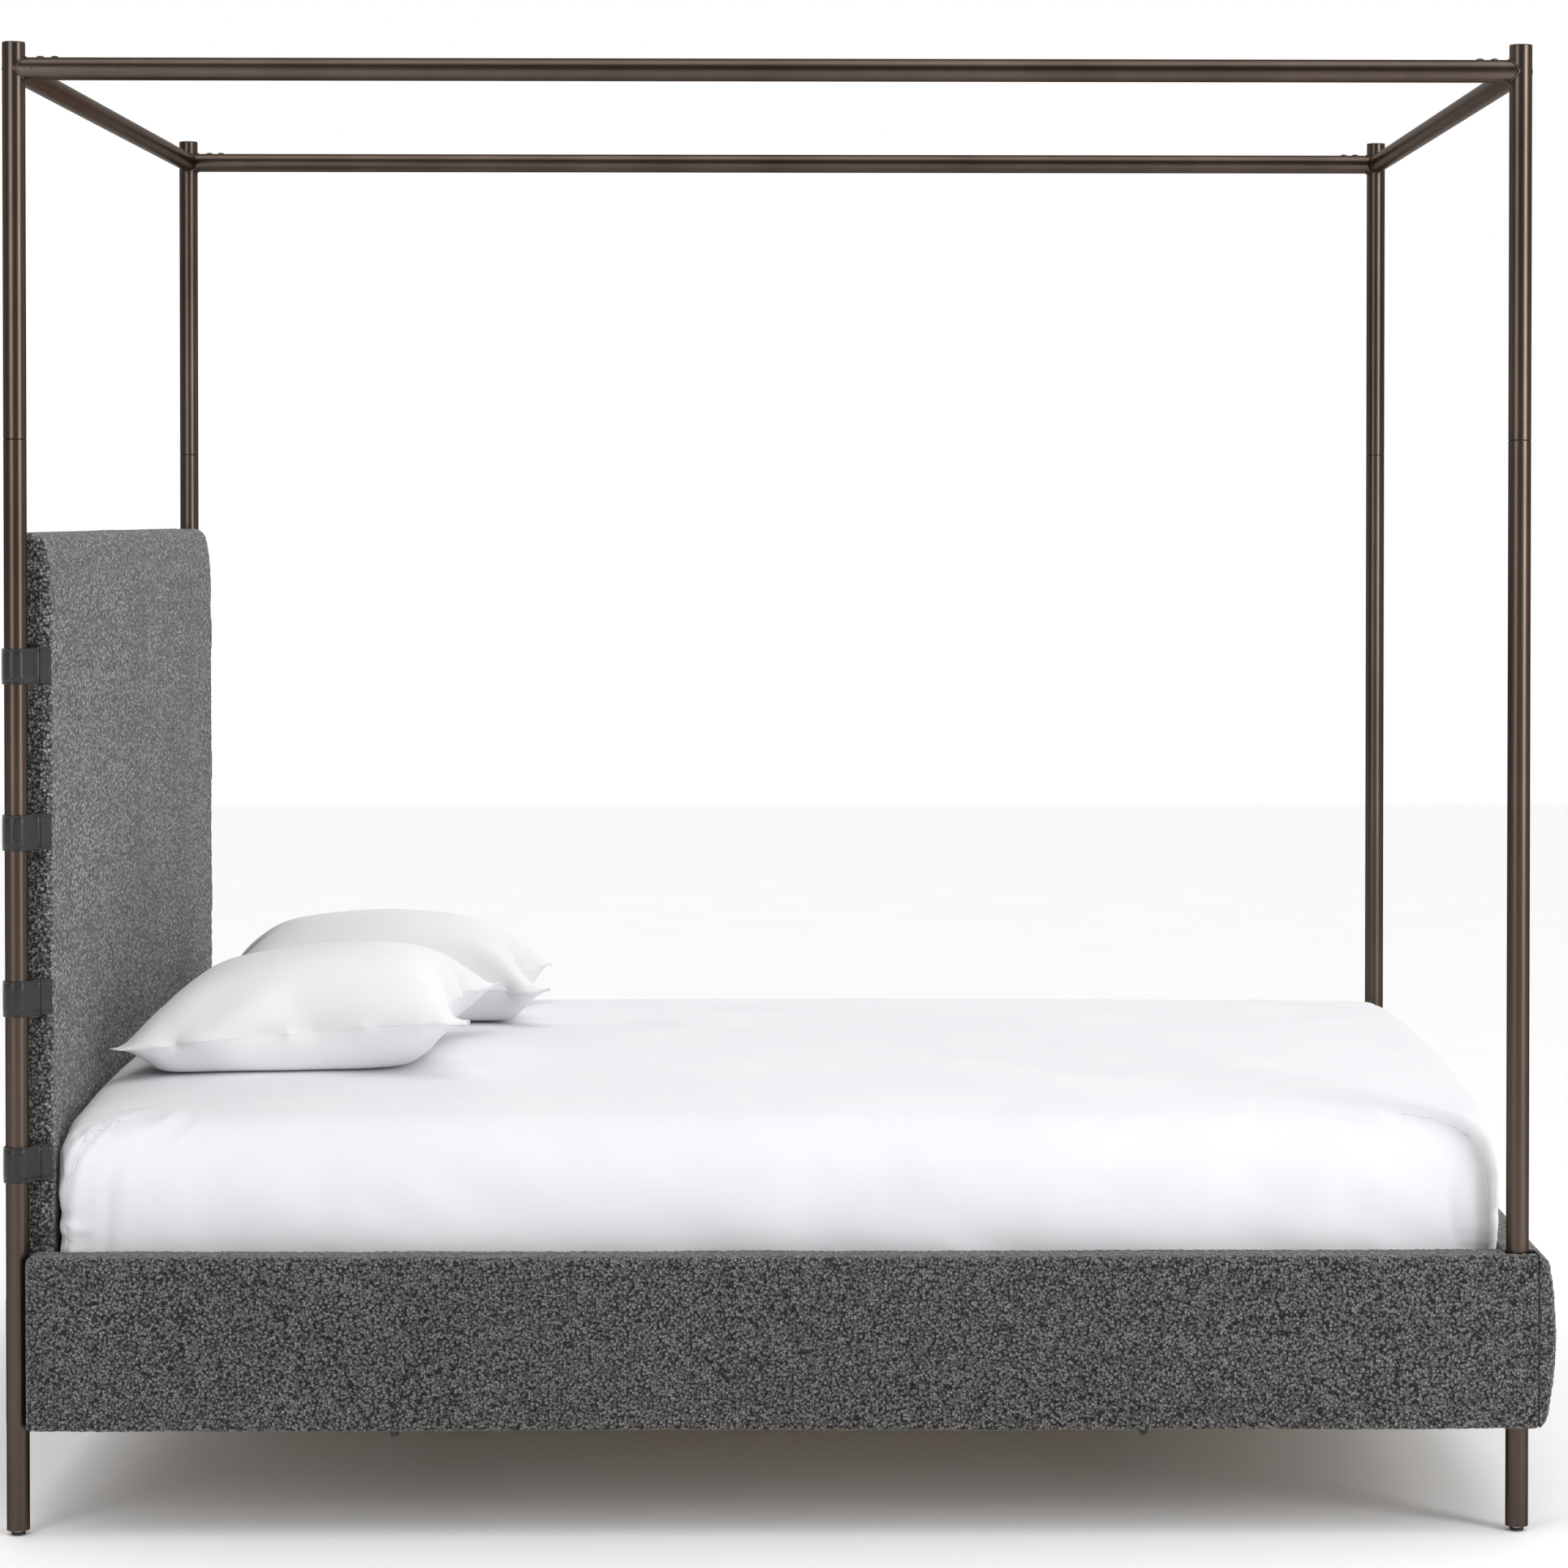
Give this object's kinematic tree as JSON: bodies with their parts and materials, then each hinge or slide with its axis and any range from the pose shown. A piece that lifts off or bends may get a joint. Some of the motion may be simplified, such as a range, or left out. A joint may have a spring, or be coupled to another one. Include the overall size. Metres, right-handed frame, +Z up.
{
  "type": "four poster canopy bed",
  "caption": "Canopy bed with slim round steel posts and top rails, boucle side rails, footboard and strapped headboard, with a fitted mattress and pillows.",
  "frame": {"origin": "middle of the bed's footprint, on the floor", "axes": "+X from the head to the foot, +Y across the bed, +Z up"},
  "size_m": [2.1635, 1.664, 2.075],
  "materials": {
    "bronze_steel": "satin dark bronze lacquer",
    "zinc_steel": "zinc plated",
    "black_hardware": "black oxide",
    "black_plastic": "moulded, matt",
    "strap_leather": "smooth hide, half gloss, with black thread",
    "headboard_boucle": "fine looped pepper boucle",
    "rail_boucle": "coarse looped charcoal and oatmeal boucle",
    "backing_cloth": "black nonwoven dust cloth",
    "upholstery_foam": "open cell foam",
    "painted_timber": "dark stained solid timber",
    "plywood": "plain birch plywood",
    "pine_timber": "planed pine",
    "mattress_ticking": "woven ticking over foam and springs",
    "sheet_cotton": "plain white cotton",
    "pillow_cotton": "plain white cotton"
  },
  "bodies": {
    "bed_frame": {"canopy_foot_rail": "bronze_steel", "canopy_head_rail": "bronze_steel", "canopy_locating_pins": "black_hardware", "canopy_rail_screws": "black_hardware", "canopy_side_rail_far": "bronze_steel", "canopy_side_rail_near": "bronze_steel", "canopy_spigots": "bronze_steel", "centre_beam": "pine_timber", "cross_bar_cap_nuts": "black_hardware", "cross_bar_foot": "bronze_steel", "cross_bar_hanger_bolts": "zinc_steel", "cross_bar_head": "bronze_steel", "foot_post_lower_far": "bronze_steel", "foot_post_lower_near": "bronze_steel", "foot_post_upper_far": "bronze_steel", "foot_post_upper_near": "bronze_steel", "footboard_board": "painted_timber", "footboard_cover": "rail_boucle", "footboard_padding": "upholstery_foam", "footboard_panel": "plywood", "head_cross_rail": "painted_timber", "head_post_lower_far": "bronze_steel", "head_post_lower_near": "bronze_steel", "head_post_upper_far": "bronze_steel", "head_post_upper_near": "bronze_steel", "headboard_back_cloth": "backing_cloth", "headboard_board": "plywood", "headboard_cover": "headboard_boucle", "headboard_padding": "upholstery_foam", "headboard_straps_far": "strap_leather", "headboard_straps_near": "strap_leather", "post_caps": "bronze_steel", "post_foot_inserts": "black_plastic", "post_joiners": "zinc_steel", "post_knife_plates": "bronze_steel", "rail_bolts": "zinc_steel", "side_rail_board_far": "painted_timber", "side_rail_board_near": "painted_timber", "side_rail_cover_far": "rail_boucle", "side_rail_cover_near": "rail_boucle", "side_rail_padding_far": "upholstery_foam", "side_rail_padding_near": "upholstery_foam", "side_rail_panel_far": "plywood", "side_rail_panel_near": "plywood", "slat_cleat_far": "pine_timber", "slat_cleat_near": "pine_timber", "slats": "pine_timber"},
    "mattress_set": {"mattress": "mattress_ticking", "fitted_sheet": "sheet_cotton"},
    "pillow_near": {"pillow_near": "pillow_cotton"},
    "pillow_far": {"pillow_far": "pillow_cotton"},
    "leveller_pad_head_near": {"leveller_pad_head_near": "black_plastic"},
    "leveller_stem_head_near": {"leveller_stem_head_near": "zinc_steel"},
    "leveller_pad_head_far": {"leveller_pad_head_far": "black_plastic"},
    "leveller_stem_head_far": {"leveller_stem_head_far": "zinc_steel"},
    "leveller_pad_foot_near": {"leveller_pad_foot_near": "black_plastic"},
    "leveller_stem_foot_near": {"leveller_stem_foot_near": "zinc_steel"},
    "leveller_pad_foot_far": {"leveller_pad_foot_far": "black_plastic"},
    "leveller_stem_foot_far": {"leveller_stem_foot_far": "zinc_steel"}
  },
  "joints": [
    {"name": "mattress_lift", "type": "slide", "parent": "bed_frame", "child": "mattress_set", "axis": [0, 0, 1], "range_m": [0, 0.35]},
    {"name": "pillow_near_lift", "type": "slide", "parent": "mattress_set", "child": "pillow_near", "axis": [0, 0, 1], "range_m": [0, 0.25]},
    {"name": "pillow_far_lift", "type": "slide", "parent": "mattress_set", "child": "pillow_far", "axis": [0, 0, 1], "range_m": [0, 0.25]},
    {"name": "leveller_travel_head_near", "type": "slide", "parent": "bed_frame", "child": "leveller_pad_head_near", "axis": [0, 0, -1], "range_m": [0, 0.01]},
    {"name": "leveller_turn_head_near", "type": "hinge", "parent": "leveller_pad_head_near", "child": "leveller_stem_head_near", "pos_m": [-1.06075, -0.8, 0.02], "axis": [0, 0, -1], "range_deg": [0, 2880]},
    {"name": "leveller_travel_head_far", "type": "slide", "parent": "bed_frame", "child": "leveller_pad_head_far", "axis": [0, 0, -1], "range_m": [0, 0.01]},
    {"name": "leveller_turn_head_far", "type": "hinge", "parent": "leveller_pad_head_far", "child": "leveller_stem_head_far", "pos_m": [-1.06075, 0.8, 0.02], "axis": [0, 0, -1], "range_deg": [0, 2880]},
    {"name": "leveller_travel_foot_near", "type": "slide", "parent": "bed_frame", "child": "leveller_pad_foot_near", "axis": [0, 0, -1], "range_m": [0, 0.01]},
    {"name": "leveller_turn_foot_near", "type": "hinge", "parent": "leveller_pad_foot_near", "child": "leveller_stem_foot_near", "pos_m": [1.03125, -0.8, 0.02], "axis": [0, 0, -1], "range_deg": [0, 2880]},
    {"name": "leveller_travel_foot_far", "type": "slide", "parent": "bed_frame", "child": "leveller_pad_foot_far", "axis": [0, 0, -1], "range_m": [0, 0.01]},
    {"name": "leveller_turn_foot_far", "type": "hinge", "parent": "leveller_pad_foot_far", "child": "leveller_stem_foot_far", "pos_m": [1.03125, 0.8, 0.02], "axis": [0, 0, -1], "range_deg": [0, 2880]}
  ],
  "couplings": [
    {"joint": "leveller_travel_head_near", "follows": "leveller_turn_head_near", "m_per_rad": 0.00019894},
    {"joint": "leveller_travel_head_far", "follows": "leveller_turn_head_far", "m_per_rad": 0.00019894},
    {"joint": "leveller_travel_foot_near", "follows": "leveller_turn_foot_near", "m_per_rad": 0.00019894},
    {"joint": "leveller_travel_foot_far", "follows": "leveller_turn_foot_far", "m_per_rad": 0.00019894}
  ]
}
